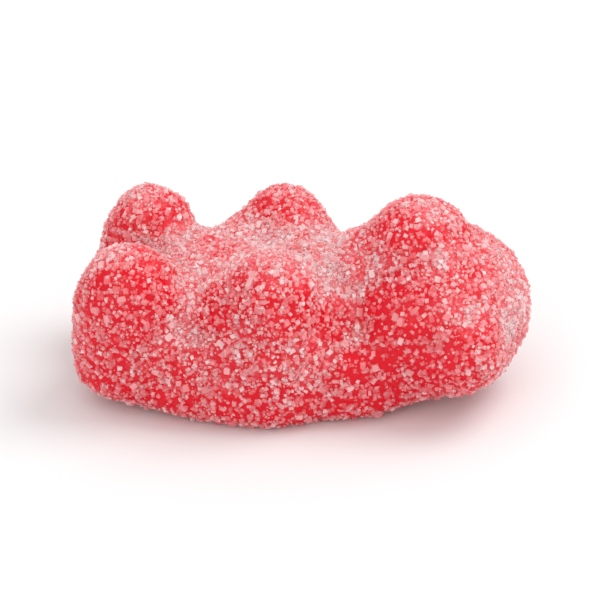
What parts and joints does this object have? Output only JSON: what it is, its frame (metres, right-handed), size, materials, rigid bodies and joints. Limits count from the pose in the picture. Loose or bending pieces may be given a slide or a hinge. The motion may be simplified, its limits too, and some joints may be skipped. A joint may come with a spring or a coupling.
{
  "type": "gummy bear",
  "caption": "Small soft moulded sweet in the shape of a bear, coated in coarse sugar, lying on its flat back with head, snout, arms and legs in rounded relief",
  "frame": {"origin": "middle of the bear's back, on the plane that it lies on", "axes": "X runs from the feet to the top of the head, Y runs across the bear to its right side, Z runs from the back out of the belly and the face"},
  "size_m": [0.025, 0.0136, 0.0114],
  "materials": {
    "red_gummy": "soft translucent red gummy, satin where it shows between the sugar",
    "sugar": "coarse clear and white sugar crystals with small glints"
  },
  "bodies": {
    "root": {"gummy_bear": "red_gummy"}
  },
  "joints": []
}
